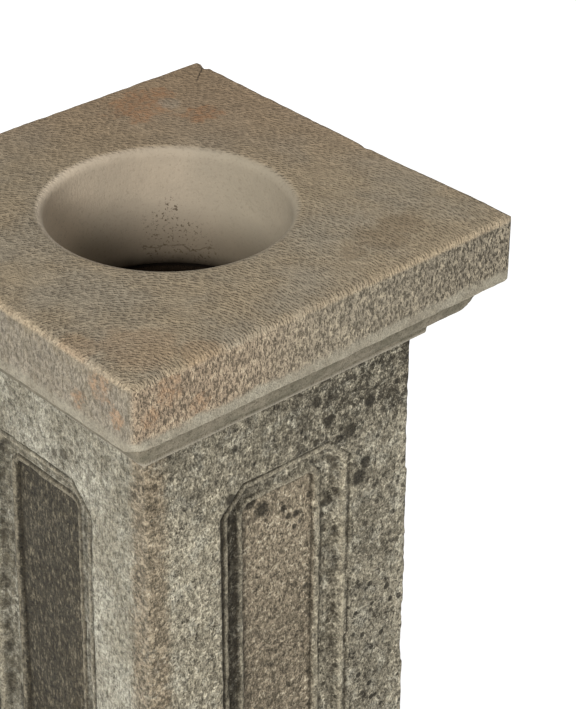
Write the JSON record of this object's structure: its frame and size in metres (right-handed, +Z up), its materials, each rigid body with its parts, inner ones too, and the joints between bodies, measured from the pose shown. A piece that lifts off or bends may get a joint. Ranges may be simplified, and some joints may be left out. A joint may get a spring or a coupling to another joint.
{
  "type": "stone lantern",
  "caption": "Square stone garden lantern: moulded cap slab with a round open lamp well, on a panelled shaft and moulded base, with an oil lamp inside.",
  "frame": {"origin": "on the ground at the middle of the base stone's underside", "axes": "+Z up along the well's axis; the cap's sides face +X, -X, +Y and -Y"},
  "size_m": [0.38, 0.38, 0.76],
  "materials": {
    "cap_stone": "tooled, weathered",
    "shaft_stone": "tooled, lichened",
    "base_stone": "tooled, weathered",
    "iron": "rusted",
    "lead": "dull",
    "bronze": "tarnished",
    "brass": "sooted",
    "cotton": "woven, charred tip"
  },
  "bodies": {
    "base": {"base_stone": "base_stone", "base_dowels": "iron", "base_dowel_leads": "lead", "lower_bed_sheet": "lead"},
    "shaft": {"shaft_block": "shaft_stone", "cap_dowels": "iron", "cap_dowel_leads": "lead", "upper_bed_sheet": "lead"},
    "cap": {"cap_stone": "cap_stone"},
    "lamp": {"oil_dish": "bronze"},
    "lid": {"dish_lid": "bronze", "wick_tube": "brass", "wick": "cotton"},
    "bail": {"bail": "iron"}
  },
  "joints": [
    {"name": "shaft_lift", "type": "slide", "parent": "base", "child": "shaft", "axis": [0, 0, 1], "range_m": [0, 0.09]},
    {"name": "cap_lift", "type": "slide", "parent": "shaft", "child": "cap", "axis": [0, 0, 1], "range_m": [0, 0.09]},
    {"name": "lamp_lift", "type": "slide", "parent": "shaft", "child": "lamp", "axis": [0, 0, 1], "range_m": [0, 0.26]},
    {"name": "lid_lift", "type": "slide", "parent": "lamp", "child": "lid", "axis": [0, 0, 1], "range_m": [0, 0.03]},
    {"name": "bail_swing", "type": "hinge", "parent": "lamp", "child": "bail", "pos_m": [0, 0, 0.578], "axis": [1, 0, 0], "range_deg": [0, 180]}
  ]
}
